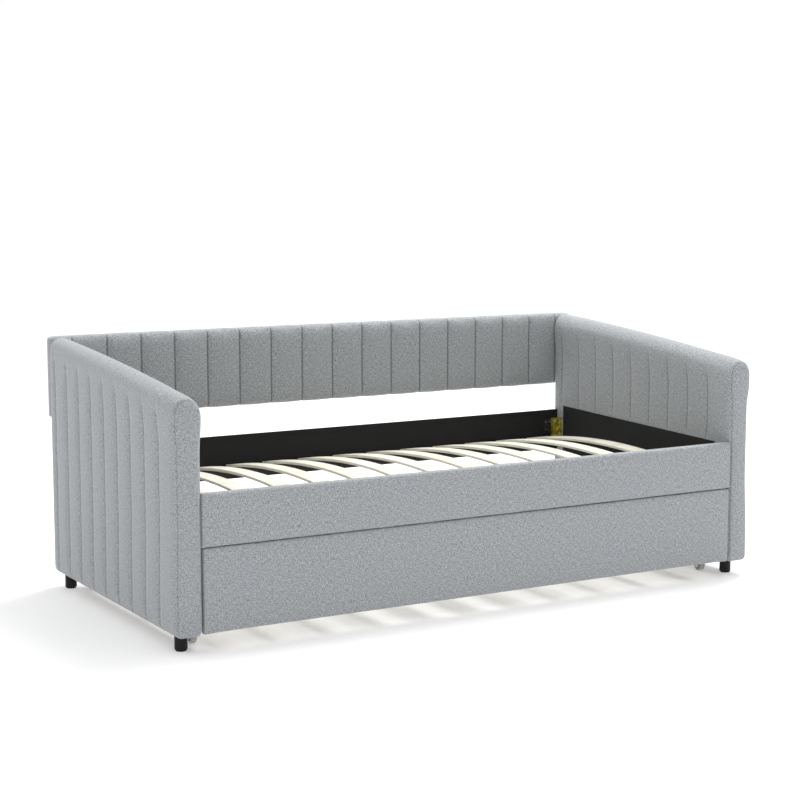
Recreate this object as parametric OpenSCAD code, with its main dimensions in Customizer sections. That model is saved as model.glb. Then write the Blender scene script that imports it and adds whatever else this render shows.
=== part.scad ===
// Upholstered daybed with a pull-out trundle.
// +X runs along the bed, +Y to its back, +Z up. The origin is on the floor, at the middle
// of the footprint.

/* [Overall] */
// Clear length between the two arms, for the mattress
clear_w = 1930; // [1700:5:2100]
// Thickness of each arm
arm_t = 80; // [70:1:100]
// Depth of each arm, front to back
arm_d = 1022; // [960:1:1100]
// Thickness of the back panel, which stands behind the arms
back_t = 50; // [44:1:70]
// How far the back panel stops short of each arm's outer face
back_short = 4; // [0:1:20]

/* [Heights] */
// Height of the feet
foot_h = 50; // [40:1:80]
// Top of the arms at the front
arm_top_front = 733; // [680:1:760]
// Top of the arms at the back
arm_top_rear = 822; // [780:1:860]
// Bottom edge of the back panel
back_bottom = 556; // [500:1:600]
// Top edge of the back panel
back_top = 824; // [780:1:870]
// Bottom edge of the front and rear rails
rail_bottom = 306; // [290:1:320]
// Top edge of the front and rear rails
rail_top = 459; // [445:1:480]

/* [Slats] */
// Number of bowed slats under the upper mattress
slat_count = 13; // [9:1:13]
// Distance from one slat to the next
slat_pitch = 139; // [120:1:140]
// Width of a slat
slat_w = 60; // [40:1:70]
// Thickness of a slat
slat_t = 9; // [7:1:14]
// Rise of the bow at the middle of a slat
slat_bow = 42; // [20:1:50]
// How far the row of slats stands to the right of the middle
slat_shift = 12; // [-20:1:20]

/* [Trundle] */
// Bottom edge of the trundle's front panel
trundle_bottom = 52; // [45:1:56]
// Top edge of the trundle's front panel
trundle_top = 300; // [270:1:300]
// Height of the trundle's side and rear boards
side_h = 150; // [130:1:180]
// Number of flat slats in the trundle
trundle_slat_count = 11; // [7:1:13]
// Radius of a caster wheel
wheel_r = 19; // [16:0.5:21]
// Width of a caster wheel
wheel_w = 18; // [14:1:20]

/* [Hidden] */
half_w = clear_w / 2;
front_y = -(arm_d + back_t) / 2;
arm_rear_y = front_y + arm_d;
back_y = arm_rear_y + back_t;
slope = atan((arm_top_rear - arm_top_front) / arm_d);

// Upholstery
pad_side = 11;
pad_top = 22;
pad_front = 10;
pad_rear = 3;
rail_pad = 7;
cover_t = 3;
lining_t = 2;
back_pad = 14;
back_wrap = 5;

// Timber
board_t = 17;
post_w = 60;
stretcher_h = 60;
top_rail_h = 55;
frame_t = arm_t - 2 * pad_side;
back_frame_t = back_t - back_pad - lining_t;
back_half_w = half_w + arm_t - back_short;
back_post_w = 60;
back_end_r = back_t / 2;
back_frame_half_w = back_half_w - back_end_r;

// Rail planes, outer face first
front_inner_y = front_y + rail_pad + board_t + lining_t;
rear_inner_y = arm_rear_y - cover_t - board_t - lining_t;
ledger_t = 20;
ledger_h = 38;
ledger_top = 350;
ledger_half_w = half_w - 15;

// Bowed slats: an arc whose ends rest on the ledgers
slat_end_gap = 8;
slat_span = rear_inner_y - front_inner_y - 2 * slat_end_gap;
slat_mid_y = (rear_inner_y + front_inner_y) / 2;
slat_arc_r = (pow(slat_span / 2, 2) + pow(slat_bow, 2)) / (2 * slat_bow);
slat_arc_z = ledger_top + slat_bow - slat_arc_r;
slat_half_angle = asin(slat_span / 2 / slat_arc_r);
slat_screw_in = 6;
slat_screw_angle = asin((slat_span / 2 - slat_screw_in) / slat_arc_r);
slat_screw_r = 1.6;
slat_screw_head_r = 3.4;
slat_screw_head_h = 2;
slat_screw_l = 30;
chamfer = 1.5;

// Arm lining: starts behind the front rail and stops short of the rear rail
lining_front_y = front_y + 85;
lining_rear_y = front_y + 960;
lining_low_z = 60;
lining_front_z = 452;
lining_rear_z = 476;

// Corner brackets
bracket_z = 351;
bracket_h = 76;
bracket_leg = 32;
bracket_t = 2.5;
plate_w = 34;
plate_h = 57;
bracket_screw_r = 2.5;
bracket_screw_l = 28;
bracket_head_r = 4.5;
bracket_head_h = 2.5;
plate_screw_in = [bracket_leg / 2, bracket_leg + 5, bracket_leg + 24, bracket_leg + 24];
plate_screw_z = [62, 62, 62, 33];
arm_screw_z = [18, 56];
arm_screw_in = bracket_leg / 2;

// Bolts that hold the back panel to the arms
back_bolt_r = 4;
back_bolt_l = 80;
back_bolt_head_r = 8;
back_bolt_head_h = 4;
back_bolt_x = half_w + arm_t / 2 - 10;
back_bolt_z = [620, 750];

// Feet
foot_r = 19;
foot_glide_r = 16;
foot_front_in = 66;
foot_rear_in = 50;
foot_x = half_w + arm_t / 2 + 2;
stud_r = 4;
stud_down = 25;
stud_up = 40;

// Trundle
trundle_half_w = half_w - 5;
side_outer_x = half_w - 10;
side_z = trundle_bottom + 10;
side_rear_y = arm_rear_y - 46;
trundle_ledger_z = side_z + 48;
trundle_slat_z = trundle_ledger_z + ledger_h;
trundle_slat_t = 10;
trundle_slat_w = 60;
trundle_slat_pitch = 1650 / (trundle_slat_count - 1);
block_w = 30;
block_h = side_h - 10;
beam_w = 30;
trundle_screw_r = 2.25;
trundle_head_r = 4;
trundle_head_h = 2;
trundle_screw_l = 40;
trundle_screw_z = [30, 115];

// Casters
caster_front_y = front_y + 128;
caster_rear_y = side_rear_y - 70;
caster_x = side_outer_x - board_t / 2;
axle_r = 3;
axle_fit = 0.05;
cheek_t = 2;
cheek_gap = 1;
cheek_r = 8;
caster_plate = [26, 56, 2.5];
hub_r = 7;
tread_t = 6;
web_t = 6;
wheel_chamfer = 1.5;

hole_fit = 0.1;
ends = [-1, 1];
caster_names = ["front_left", "front_right", "rear_left", "rear_right"];
slat_names = [for (i = [1 : slat_count]) str("slat_", i < 10 ? "0" : "", i)];

// ---- helpers ----

// A block between two corners
module block(low, high) {
    translate(low) cube(high - low);
}

// The same child on the right and mirrored to the left
module both_sides() {
    for (side = ends) mirror([side < 0 ? 1 : 0, 0, 0]) children();
}

// An outline in (y, z), extruded from x0 to x1
module side_profile(x0, x1, points) {
    translate([x0, 0, 0]) rotate([90, 0, 90]) linear_extrude(x1 - x0) polygon(points);
}

// Height of the arm's sloping top at a distance y from the origin
function arm_top(y) = arm_top_front + (y - front_y) * tan(slope);

// ---- shanks, also used to cut the holes that they pass through ----

module rail_bracket_shanks(grow) {
    for (i = [0 : len(plate_screw_in) - 1]) {
        x = half_w - plate_screw_in[i];
        z = bracket_z + plate_screw_z[i];
        both_sides() {
            translate([x, rear_inner_y - bracket_t, z]) rotate([-90, 0, 0])
                cylinder(r = bracket_screw_r + grow, h = board_t, $fn = 24);
            translate([x, front_inner_y + bracket_t, z]) rotate([90, 0, 0])
                cylinder(r = bracket_screw_r + grow, h = board_t, $fn = 24);
        }
    }
}

module arm_bracket_shanks(grow) {
    for (z = arm_screw_z) {
        both_sides() {
            for (y = [rear_inner_y - arm_screw_in, front_inner_y + arm_screw_in]) {
                translate([half_w - bracket_t, y, bracket_z + z]) rotate([0, 90, 0])
                    cylinder(r = bracket_screw_r + grow, h = bracket_screw_l, $fn = 24);
            }
        }
    }
}

// Bolts with sunk heads, from the rear face of the back panel into the arm posts
module back_bolt_shapes(grow) {
    for (z = back_bolt_z) {
        both_sides() translate([back_bolt_x, back_y, z]) rotate([90, 0, 0]) {
            cylinder(r = back_bolt_r + grow, h = back_bolt_l, $fn = 24);
            cylinder(r = back_bolt_head_r + grow, h = back_bolt_head_h, $fn = 48);
        }
    }
}

module foot_stud_shanks(grow) {
    both_sides() {
        for (y = [front_y + foot_front_in, arm_rear_y - foot_rear_in]) {
            translate([foot_x, y, foot_h - stud_down])
                cylinder(r = stud_r + grow, h = stud_down + stud_up, $fn = 24);
        }
    }
}

// Puts children at both ends of every bowed slat, upright to its top face
module at_slat_ends() {
    for (i = [0 : slat_count - 1]) {
        for (end = ends) {
            translate([slat_x(i), slat_mid_y, slat_arc_z])
                rotate([end * slat_screw_angle, 0, 0])
                    translate([0, 0, slat_arc_r + slat_t]) children();
        }
    }
}

module slat_screw_shape(grow) {
    translate([0, 0, -slat_screw_l]) cylinder(r = slat_screw_r + grow, h = slat_screw_l, $fn = 24);
    translate([0, 0, -slat_screw_head_h])
        cylinder(r = slat_screw_head_r + grow, h = slat_screw_head_h, $fn = 24);
}

// Screws through the trundle's corner blocks into the boards round them
module trundle_side_shanks(grow) {
    for (z = trundle_screw_z) {
        both_sides() {
            for (y = [front_inner_y + block_w / 2, side_rear_y - board_t - block_w / 2]) {
                translate([side_outer_x, y, side_z + z]) rotate([0, -90, 0])
                    cylinder(r = trundle_screw_r + grow, h = trundle_screw_l, $fn = 24);
            }
        }
    }
}

module trundle_end_shanks(grow) {
    x = side_outer_x - board_t - block_w / 2;
    lift = trundle_head_r * 3;
    for (z = trundle_screw_z) {
        both_sides() {
            translate([x, front_inner_y + block_w, side_z + z + lift]) rotate([90, 0, 0])
                cylinder(r = trundle_screw_r + grow, h = trundle_screw_l, $fn = 24);
            translate([x, side_rear_y - board_t - block_w, side_z + z + lift]) rotate([-90, 0, 0])
                cylinder(r = trundle_screw_r + grow, h = trundle_screw_l, $fn = 24);
        }
    }
}

// ---- arms ----

// The arm's outer shape: upright sides and a full round on the sloping top
module arm_solid() {
    r = arm_t / 2;
    depth = 2 * arm_d;
    intersection() {
        translate([half_w + r, front_y, arm_top_front]) rotate([slope, 0, 0])
            translate([0, depth - arm_d / 2, 0]) rotate([90, 0, 0]) linear_extrude(depth) {
                translate([0, -r]) circle(r, $fn = 64);
                translate([-r, -arm_top_rear - r]) square([arm_t, arm_top_rear]);
            }
        block([half_w, front_y, foot_h], [half_w + arm_t, arm_rear_y, arm_top_rear + r]);
    }
}

// Outline of the timber core in (y, z); open_by carries it down past the arm's bottom edge
module arm_core_outline(open_by = 0) {
    y0 = front_y + pad_front;
    y1 = arm_rear_y - pad_rear;
    polygon([
        [y0, foot_h - open_by],
        [y1, foot_h - open_by],
        [y1, arm_top(y1) - pad_top],
        [y0, arm_top(y0) - pad_top]
    ]);
}

// One opening of the arm frame, between y0 and y1
module upper_window(y0, y1, z0) {
    polygon([
        [y0, z0],
        [y1, z0],
        [y1, arm_top(y1) - pad_top - top_rail_h],
        [y0, arm_top(y0) - pad_top - top_rail_h]
    ]);
}

module arm_frame() {
    y0 = front_y + pad_front + post_w;
    y1 = arm_rear_y - pad_rear - post_w;
    mid = (y0 + y1) / 2;
    mid_z0 = rail_bottom + 10;
    mid_z1 = rail_top + 10;
    low_z = foot_h + stretcher_h;
    difference() {
        translate([half_w + pad_side, 0, 0]) rotate([90, 0, 90]) linear_extrude(frame_t)
            difference() {
                arm_core_outline();
                translate([y0, low_z]) square([mid - y0 - post_w / 2, mid_z0 - low_z]);
                translate([mid + post_w / 2, low_z]) square([y1 - mid - post_w / 2, mid_z0 - low_z]);
                upper_window(y0, mid - post_w / 2, mid_z1);
                upper_window(mid + post_w / 2, y1, mid_z1);
            }
        arm_bracket_shanks(hole_fit);
        back_bolt_shapes(hole_fit);
        foot_stud_shanks(hole_fit);
    }
}

module arm_cover() {
    difference() {
        arm_solid();
        translate([half_w + pad_side, 0, 0]) rotate([90, 0, 90]) linear_extrude(frame_t)
            arm_core_outline(foot_h);
        arm_bracket_shanks(hole_fit);
        back_bolt_shapes(hole_fit);
    }
}

module arm_lining() {
    side_profile(half_w - lining_t, half_w, [
        [lining_front_y, lining_low_z],
        [lining_rear_y, lining_low_z],
        [lining_rear_y, lining_rear_z],
        [lining_front_y, lining_front_z]
    ]);
}

module right_arm_frame() { color("burlywood") arm_frame(); }
module left_arm_frame() { color("burlywood") mirror([1, 0, 0]) arm_frame(); }
module right_arm_cover() { color([0.64, 0.65, 0.67]) arm_cover(); }
module left_arm_cover() { color([0.64, 0.65, 0.67]) mirror([1, 0, 0]) arm_cover(); }
module right_arm_lining() { color([0.13, 0.13, 0.13]) arm_lining(); }
module left_arm_lining() { color([0.13, 0.13, 0.13]) mirror([1, 0, 0]) arm_lining(); }

// ---- back panel ----

module back_frame() {
    x1 = back_frame_half_w;
    z0 = back_bottom + back_wrap;
    z1 = back_top - back_wrap;
    y0 = arm_rear_y + back_pad;
    bays = 4;
    bay = (2 * x1 - back_post_w) / bays;
    color("burlywood") difference() {
        block([-x1, y0, z0], [x1, y0 + back_frame_t, z1]);
        for (i = [0 : bays - 1]) {
            x = -x1 + back_post_w + i * bay;
            block([x, y0 - 1, z0 + back_post_w], [x + bay - back_post_w, back_y, z1 - back_post_w]);
        }
        back_bolt_shapes(hole_fit);
    }
}

// The cover's outline from above: a straight panel with full-round ends
module back_outline() {
    translate([-back_frame_half_w, arm_rear_y]) square([2 * back_frame_half_w, back_t]);
    for (side = ends) {
        translate([side * back_frame_half_w, arm_rear_y + back_end_r]) circle(back_end_r, $fn = 64);
    }
}

module back_cover() {
    x1 = back_frame_half_w;
    color([0.55, 0.56, 0.58]) difference() {
        translate([0, 0, back_bottom]) linear_extrude(back_top - back_bottom) back_outline();
        block([-x1, arm_rear_y + back_pad, back_bottom + back_wrap],
            [x1, back_y + 1, back_top - back_wrap]);
        back_bolt_shapes(hole_fit);
    }
}

module back_lining() {
    x1 = back_frame_half_w;
    color([0.6, 0.61, 0.63]) difference() {
        block([-x1, back_y - lining_t, back_bottom + back_wrap], [x1, back_y, back_top - back_wrap]);
        back_bolt_shapes(hole_fit);
    }
}

module back_bolts() {
    color("silver") back_bolt_shapes(0);
}

// ---- rails ----

module front_rail_board() {
    color("burlywood") difference() {
        block([-half_w + cover_t, front_y + rail_pad, rail_bottom + cover_t],
            [half_w - cover_t, front_inner_y - lining_t, rail_top - cover_t]);
        rail_bracket_shanks(hole_fit);
    }
}

module front_rail_cover() {
    color([0.64, 0.65, 0.67]) difference() {
        block([-half_w, front_y, rail_bottom], [half_w, front_inner_y - lining_t, rail_top]);
        block([-half_w + cover_t, front_y + rail_pad, rail_bottom + cover_t],
            [half_w - cover_t, front_inner_y, rail_top - cover_t]);
    }
}

module front_rail_lining() {
    color([0.13, 0.13, 0.13]) difference() {
        block([-half_w, front_inner_y - lining_t, rail_bottom + 1], [half_w, front_inner_y, rail_top - 4]);
        rail_bracket_shanks(hole_fit);
    }
}

module rear_rail_board() {
    color("burlywood") difference() {
        block([-half_w + cover_t, rear_inner_y + lining_t, rail_bottom + cover_t],
            [half_w - cover_t, arm_rear_y - cover_t, rail_top - cover_t]);
        rail_bracket_shanks(hole_fit);
    }
}

module rear_rail_cover() {
    color([0.64, 0.65, 0.67]) difference() {
        block([-half_w, rear_inner_y + lining_t, rail_bottom], [half_w, arm_rear_y, rail_top]);
        block([-half_w + cover_t, rear_inner_y, rail_bottom + cover_t],
            [half_w - cover_t, arm_rear_y - cover_t, rail_top - cover_t]);
    }
}

module rear_rail_lining() {
    color([0.13, 0.13, 0.13]) difference() {
        block([-half_w, rear_inner_y, rail_bottom + 1], [half_w, rear_inner_y + lining_t, rail_top]);
        rail_bracket_shanks(hole_fit);
    }
}

module front_ledger() {
    color([0.13, 0.13, 0.13]) difference() {
        block([-ledger_half_w, front_inner_y, ledger_top - ledger_h],
            [ledger_half_w, front_inner_y + ledger_t, ledger_top]);
        at_slat_ends() slat_screw_shape(hole_fit);
    }
}

module rear_ledger() {
    color([0.13, 0.13, 0.13]) difference() {
        block([-ledger_half_w, rear_inner_y - ledger_t, ledger_top - ledger_h],
            [ledger_half_w, rear_inner_y, ledger_top]);
        at_slat_ends() slat_screw_shape(hole_fit);
    }
}

// ---- bowed slats ----

function slat_x(i) = (i - (slat_count - 1) / 2) * slat_pitch + slat_shift;

// Section of a slat, thickness along x and width along y, with broken edges
module slat_section() {
    w = slat_w / 2;
    c = chamfer;
    translate([slat_arc_r, 0]) polygon([
        [0, -w + c], [c, -w], [slat_t - c, -w], [slat_t, -w + c],
        [slat_t, w - c], [slat_t - c, w], [c, w], [0, w - c]
    ]);
}

module slat(i) {
    color([0.93, 0.91, 0.86]) difference() {
        translate([slat_x(i), slat_mid_y, slat_arc_z]) rotate([0, -90, 0])
            rotate([0, 0, -slat_half_angle])
                rotate_extrude(angle = 2 * slat_half_angle, $fn = 360) slat_section();
        for (end = ends) {
            translate([slat_x(i), slat_mid_y, slat_arc_z]) rotate([end * slat_screw_angle, 0, 0])
                translate([0, 0, slat_arc_r + slat_t]) slat_screw_hole();
        }
    }
}

module slat_screw_hole() {
    slat_screw_shape(hole_fit);
    cylinder(r = slat_screw_head_r + hole_fit, h = 1, $fn = 24);
}

module slat_screws() {
    color("silver") at_slat_ends() slat_screw_shape(0);
}

// ---- corner brackets ----

module corner_bracket(rail_y, inward) {
    y = inward * bracket_leg;
    t = inward * bracket_t;
    translate([0, 0, bracket_z]) linear_extrude(bracket_h) polygon([
        [half_w, rail_y],
        [half_w - bracket_leg, rail_y],
        [half_w - bracket_leg, rail_y + t],
        [half_w - bracket_t, rail_y + t],
        [half_w - bracket_t, rail_y + y],
        [half_w, rail_y + y]
    ]);
}

module corner_brackets() {
    color([0.8, 0.67, 0.2]) difference() {
        both_sides() {
            corner_bracket(rear_inner_y, -1);
            corner_bracket(front_inner_y, 1);
        }
        rail_bracket_shanks(hole_fit);
        arm_bracket_shanks(hole_fit);
    }
}

module bracket_plates() {
    x1 = half_w - bracket_leg;
    z1 = bracket_z + bracket_h;
    color([0.15, 0.15, 0.15]) difference() {
        both_sides() {
            block([x1 - plate_w, rear_inner_y - bracket_t, z1 - plate_h], [x1, rear_inner_y, z1]);
            block([x1 - plate_w, front_inner_y, z1 - plate_h], [x1, front_inner_y + bracket_t, z1]);
        }
        rail_bracket_shanks(hole_fit);
    }
}

// Pan heads on the rail and arm faces of each bracket, on their shanks
module bracket_screws() {
    color("silver") {
        rail_bracket_shanks(0);
        arm_bracket_shanks(0);
        for (i = [0 : len(plate_screw_in) - 1]) {
            x = half_w - plate_screw_in[i];
            z = bracket_z + plate_screw_z[i];
            both_sides() {
                translate([x, rear_inner_y - bracket_t, z]) rotate([90, 0, 0]) screw_head();
                translate([x, front_inner_y + bracket_t, z]) rotate([-90, 0, 0]) screw_head();
            }
        }
        for (z = arm_screw_z) {
            both_sides() {
                for (y = [rear_inner_y - arm_screw_in, front_inner_y + arm_screw_in]) {
                    translate([half_w - bracket_t, y, bracket_z + z]) rotate([0, -90, 0]) screw_head();
                }
            }
        }
    }
}

module screw_head() {
    cylinder(r = bracket_head_r, h = bracket_head_h, $fn = 32);
}

// ---- feet ----

module foot(x, y) {
    color([0.09, 0.09, 0.09]) difference() {
        translate([x, y, 0]) rotate_extrude($fn = 64) polygon([
            [0, 0], [foot_glide_r, 0], [foot_glide_r, 3], [foot_r, 5],
            [foot_r, foot_h - 1], [foot_r - 1, foot_h], [0, foot_h]
        ]);
        foot_stud_shanks(hole_fit);
    }
}

module foot_studs() {
    color("silver") foot_stud_shanks(0);
}

// ---- trundle ----

module trundle_front_board() {
    color("burlywood") difference() {
        block([-trundle_half_w + cover_t, front_y + rail_pad, trundle_bottom + cover_t],
            [trundle_half_w - cover_t, front_inner_y - lining_t, trundle_top - cover_t]);
        trundle_end_shanks(hole_fit);
    }
}

module trundle_front_cover() {
    color([0.65, 0.66, 0.68]) difference() {
        block([-trundle_half_w, front_y, trundle_bottom],
            [trundle_half_w, front_inner_y - lining_t, trundle_top]);
        block([-trundle_half_w + cover_t, front_y + rail_pad, trundle_bottom + cover_t],
            [trundle_half_w - cover_t, front_inner_y, trundle_top - cover_t]);
    }
}

module trundle_front_lining() {
    color([0.13, 0.13, 0.13]) difference() {
        block([-trundle_half_w, front_inner_y - lining_t, trundle_bottom + 1],
            [trundle_half_w, front_inner_y, trundle_top - 1]);
        trundle_end_shanks(hole_fit);
    }
}

module trundle_side() {
    color("burlywood") difference() {
        block([side_outer_x - board_t, front_inner_y, side_z], [side_outer_x, side_rear_y, side_z + side_h]);
        trundle_side_shanks(hole_fit);
    }
}

module trundle_right_side() { trundle_side(); }
module trundle_left_side() { mirror([1, 0, 0]) trundle_side(); }

module trundle_rear_board() {
    x1 = side_outer_x - board_t;
    color("burlywood") difference() {
        block([-x1, side_rear_y - board_t, side_z], [x1, side_rear_y, side_z + side_h]);
        trundle_end_shanks(hole_fit);
    }
}

module trundle_ledgers() {
    x1 = side_outer_x - board_t - block_w;
    z1 = trundle_ledger_z + ledger_h;
    color("burlywood") {
        block([-x1, front_inner_y, trundle_ledger_z], [x1, front_inner_y + ledger_t, z1]);
        block([-x1, side_rear_y - board_t - ledger_t, trundle_ledger_z], [x1, side_rear_y - board_t, z1]);
    }
}

module trundle_beam() {
    x1 = side_outer_x - board_t;
    mid = (front_inner_y + side_rear_y - board_t) / 2;
    color("burlywood") block([-x1, mid - beam_w / 2, trundle_ledger_z],
        [x1, mid + beam_w / 2, trundle_slat_z]);
}

module trundle_slats() {
    y0 = front_inner_y + 2;
    y1 = side_rear_y - board_t - 2;
    color([0.9, 0.84, 0.72]) for (i = [0 : trundle_slat_count - 1]) {
        x = (i - (trundle_slat_count - 1) / 2) * trundle_slat_pitch;
        block([x - trundle_slat_w / 2, y0, trundle_slat_z],
            [x + trundle_slat_w / 2, y1, trundle_slat_z + trundle_slat_t]);
    }
}

module trundle_corner_blocks() {
    x1 = side_outer_x - board_t;
    z0 = side_z + 2;
    y1 = side_rear_y - board_t;
    color("burlywood") difference() {
        both_sides() {
            block([x1 - block_w, front_inner_y, z0], [x1, front_inner_y + block_w, z0 + block_h]);
            block([x1 - block_w, y1 - block_w, z0], [x1, y1, z0 + block_h]);
        }
        trundle_side_shanks(hole_fit);
        trundle_end_shanks(hole_fit);
    }
}

module trundle_screws() {
    x_end = side_outer_x - board_t - block_w / 2;
    lift = trundle_head_r * 3;
    color("silver") {
        trundle_side_shanks(0);
        trundle_end_shanks(0);
        for (z = trundle_screw_z) {
            both_sides() {
                for (y = [front_inner_y + block_w / 2, side_rear_y - board_t - block_w / 2]) {
                    translate([side_outer_x, y, side_z + z]) rotate([0, 90, 0]) trundle_screw_head();
                }
                translate([x_end, front_inner_y + block_w, side_z + z + lift]) rotate([-90, 0, 0])
                    trundle_screw_head();
                translate([x_end, side_rear_y - board_t - block_w, side_z + z + lift])
                    rotate([90, 0, 0]) trundle_screw_head();
            }
        }
    }
}

module trundle_screw_head() {
    cylinder(r = trundle_head_r, h = trundle_head_h, $fn = 32);
}

// ---- casters ----

function caster_pos(i) = [
    (i % 2 == 0 ? -1 : 1) * caster_x,
    i < 2 ? caster_front_y : caster_rear_y,
    wheel_r
];

// A rod along X through the caster's axle, centred on it
module axle_rod(r, l) {
    rotate([0, 90, 0]) translate([0, 0, -l / 2]) cylinder(r = r, h = l, $fn = 32);
}

// Plate under the side board and two cheeks that carry the axle
module caster_fork(i) {
    inner = wheel_w / 2 + cheek_gap;
    plate_z = side_z - wheel_r;
    color([0.7, 0.71, 0.73]) translate(caster_pos(i)) difference() {
        union() {
            block([-caster_plate.x / 2, -caster_plate.y / 2, plate_z - caster_plate.z],
                [caster_plate.x / 2, caster_plate.y / 2, plate_z]);
            for (s = ends) {
                mirror([s < 0 ? 1 : 0, 0, 0]) {
                    side_profile(inner, inner + cheek_t, [
                        [-cheek_r, 0], [cheek_r, 0],
                        [cheek_r * 2, plate_z - caster_plate.z], [-cheek_r * 2, plate_z - caster_plate.z]
                    ]);
                    translate([inner + cheek_t / 2, 0, 0]) axle_rod(cheek_r, cheek_t);
                }
            }
        }
        axle_rod(axle_r + axle_fit, 4 * wheel_w);
    }
}

module caster_axles() {
    head = wheel_w / 2 + cheek_gap + cheek_t;
    color("silver") for (i = [0 : 3]) {
        translate(caster_pos(i)) {
            axle_rod(axle_r, 2 * head);
            for (s = ends) translate([s * (head + 0.75), 0, 0]) axle_rod(axle_r + 2, 1.5);
        }
    }
}

// Tyre, thin web and hub in one turned section
module caster_wheel(i) {
    w = wheel_w / 2;
    c = wheel_chamfer;
    bore = axle_r + axle_fit;
    color([0.62, 0.63, 0.64]) translate(caster_pos(i)) rotate([0, 90, 0]) rotate_extrude($fn = 64)
        polygon([
            [bore, -w], [hub_r, -w], [hub_r, -web_t / 2], [wheel_r - tread_t, -web_t / 2],
            [wheel_r - tread_t, -w], [wheel_r - c, -w], [wheel_r, -w + c],
            [wheel_r, w - c], [wheel_r - c, w], [wheel_r - tread_t, w],
            [wheel_r - tread_t, web_t / 2], [hub_r, web_t / 2], [hub_r, w], [bore, w]
        ]);
}

// ---- what is drawn ----

left_arm_frame();
right_arm_frame();
left_arm_cover();
right_arm_cover();
left_arm_lining();
right_arm_lining();
back_frame();
back_cover();
back_lining();
back_bolts();
front_rail_board();
front_rail_cover();
front_rail_lining();
front_ledger();
rear_rail_board();
rear_rail_cover();
rear_rail_lining();
rear_ledger();
for (i = [0 : slat_count - 1]) slat(i);
slat_screws();
corner_brackets();
bracket_plates();
bracket_screws();
foot(-foot_x, front_y + foot_front_in);  // foot_front_left
foot(foot_x, front_y + foot_front_in);  // foot_front_right
foot(-foot_x, arm_rear_y - foot_rear_in);  // foot_rear_left
foot(foot_x, arm_rear_y - foot_rear_in);  // foot_rear_right
foot_studs();
trundle_front_board();
trundle_front_cover();
trundle_front_lining();
trundle_left_side();
trundle_right_side();
trundle_rear_board();
trundle_ledgers();
trundle_beam();
trundle_slats();
trundle_corner_blocks();
trundle_screws();
for (i = [0 : 3]) caster_fork(i);
caster_axles();
for (i = [0 : 3]) caster_wheel(i);
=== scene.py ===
"""Looks of an upholstered daybed with a pull-out trundle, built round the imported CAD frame.

Metres. +X runs along the bed, +Y to its back, +Z up, and the origin is on the floor at the
middle of the footprint.
"""

import math

import bmesh
import bpy
import numpy as np
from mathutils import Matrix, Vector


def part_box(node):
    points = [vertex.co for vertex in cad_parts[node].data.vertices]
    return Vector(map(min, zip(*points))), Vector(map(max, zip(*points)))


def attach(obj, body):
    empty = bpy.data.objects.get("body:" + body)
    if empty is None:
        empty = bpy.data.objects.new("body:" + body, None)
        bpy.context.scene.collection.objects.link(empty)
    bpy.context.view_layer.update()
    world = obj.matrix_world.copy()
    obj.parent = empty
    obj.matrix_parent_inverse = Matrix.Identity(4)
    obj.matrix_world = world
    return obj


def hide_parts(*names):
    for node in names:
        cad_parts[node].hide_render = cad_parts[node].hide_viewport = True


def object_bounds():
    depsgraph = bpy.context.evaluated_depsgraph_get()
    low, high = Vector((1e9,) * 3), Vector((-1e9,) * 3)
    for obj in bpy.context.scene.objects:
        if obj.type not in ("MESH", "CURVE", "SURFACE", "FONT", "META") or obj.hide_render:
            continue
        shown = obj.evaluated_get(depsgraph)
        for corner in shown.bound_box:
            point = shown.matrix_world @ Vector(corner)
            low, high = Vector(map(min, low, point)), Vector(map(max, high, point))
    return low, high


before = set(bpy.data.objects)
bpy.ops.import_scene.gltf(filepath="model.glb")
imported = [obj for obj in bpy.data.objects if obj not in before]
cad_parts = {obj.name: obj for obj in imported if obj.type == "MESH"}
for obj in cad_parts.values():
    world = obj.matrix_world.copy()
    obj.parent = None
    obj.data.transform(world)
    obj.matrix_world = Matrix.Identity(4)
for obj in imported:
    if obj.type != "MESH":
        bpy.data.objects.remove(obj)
CAD_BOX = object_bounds()

# ---- sizes of the arms and the back ----

ARM_LOW, ARM_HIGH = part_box("right_arm_cover")
BACK_LOW, BACK_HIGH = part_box("back_cover")
RIDGE_FRONT = 0.733          # top of the arm at its front edge
RIDGE_REAR = ARM_HIGH.z
RIDGE_ARCH = 0.008           # how far the arm's top rises above a straight slope at its middle
RIDGE_DROOP = 0.007          # how far it droops at the front edge
DROOP_REACH = 0.022          # how far back from the edge the droop fades
ARM_R = (ARM_HIGH.x - ARM_LOW.x) / 2
ARM_DEPTH = ARM_HIGH.y - ARM_LOW.y
LINING_LOW, LINING_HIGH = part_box("right_arm_lining")
LINING_SLOPE = 0.024         # how much lower the arm lining's top edge is at its front end

# ---- upholstery ----

# A rounded end is its depth, how far the section shrinks there, and its steps.

ARM_SEAM_FIRST = 0.0478      # first sewn seam, from the arm's rear edge
ARM_SEAM_PITCH = 0.1058
ARM_SEAMS = 9
ARM_SEAM_SHADE = 0.7             # how strong the painted shade in the arm's seams is beside the back panel's
ARM_SOFT = 0.017             # radius of the arm's bottom edges
ARM_FRONT_ROUND = (0.014, 0.011, 6)
ARM_REAR_ROUND = (0.008, 0.007, 4)
ARM_PUFF = 0.0055            # the most that a channel swells
ARM_PUFF_LOST = 0.003        # how much less the arm's top swells
ARM_WAIST_RIGHT = 0.009      # how far the outer side is pulled in at the front
ARM_WAIST_LEFT = 0.003
ARM_WAIST_RISE = (0.16, 0.36)  # heights between which that sets in
ARM_WAIST_FADE = (0.15, 0.08)  # how far below the top it starts to fade, and has gone
ARM_ROLL_INNER = 0.006       # how far padding rolls out below the top, on each side
ARM_ROLL_OUTER = 0.001
ARM_ROLL_BELOW = 0.07        # how far below the top the roll is fullest
ARM_ROLL_WIDTH = 0.05
ARM_BORDER_STATION = 3       # the section, from the front, that carries the border's seam
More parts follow.
